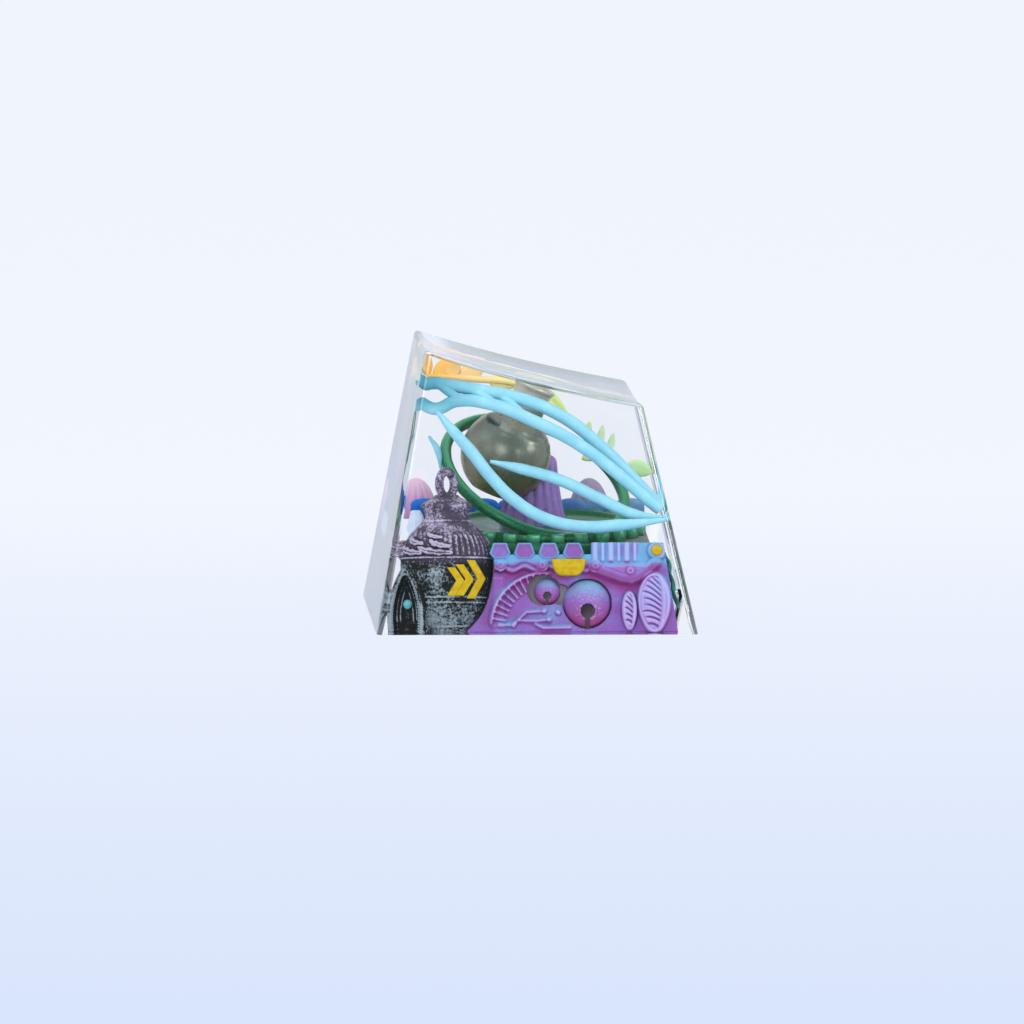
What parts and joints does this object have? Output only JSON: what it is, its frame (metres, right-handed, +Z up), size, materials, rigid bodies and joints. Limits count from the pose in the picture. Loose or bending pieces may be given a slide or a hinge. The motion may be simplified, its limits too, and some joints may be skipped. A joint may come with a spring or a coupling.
{
  "type": "artisan keycap",
  "caption": "Clear cast one-unit keycap with a sloping dished top; a painted miniature scene of jar, carved wall, bells, hoop and tendrils is set inside over a grey stem base.",
  "frame": {"origin": "centre of the bottom rim, on the axis of the stem socket", "axes": "+Z up through the top, +X towards the low edge at the typist, -Y the side that shows the carved wall"},
  "size_m": [0.0184, 0.0184, 0.016],
  "materials": {
    "clear_resin": "polished clear cast resin",
    "grey_base": "plain grey cast resin",
    "pewter": "dark pewter paint, dry-brushed with a lighter grey",
    "wall_paint": "airbrushed cyan, lilac and magenta",
    "bell_paint": "airbrushed magenta to cyan",
    "yellow_paint": "flat yellow paint",
    "green_metal": "green metallic paint",
    "bronze": "aged bronze paint",
    "purple_paint": "flat purple paint",
    "leaf_paint": "orange to lime paint",
    "wave_paint": "blue paint",
    "white_paint": "white paint",
    "teal_paint": "teal paint",
    "sky_paint": "light blue paint",
    "pink_paint": "pink paint"
  },
  "bodies": {
    "root": {"resin_body": "clear_resin", "stem_base": "grey_base", "pewter_jar": "pewter", "carved_wall": "wall_paint", "small_bell": "bell_paint", "large_bell": "bell_paint", "yellow_inlays": "yellow_paint", "green_hoop": "green_metal", "bronze_pot": "bronze", "purple_drape": "purple_paint", "leaf_garland": "leaf_paint", "blue_wave": "wave_paint", "white_stones": "white_paint", "teal_frond": "teal_paint", "upper_tendril": "sky_paint", "middle_tendril": "sky_paint", "lower_tendril": "sky_paint", "side_tendril": "sky_paint", "twig": "sky_paint", "back_shell": "pink_paint", "far_shell": "pink_paint"}
  },
  "joints": []
}
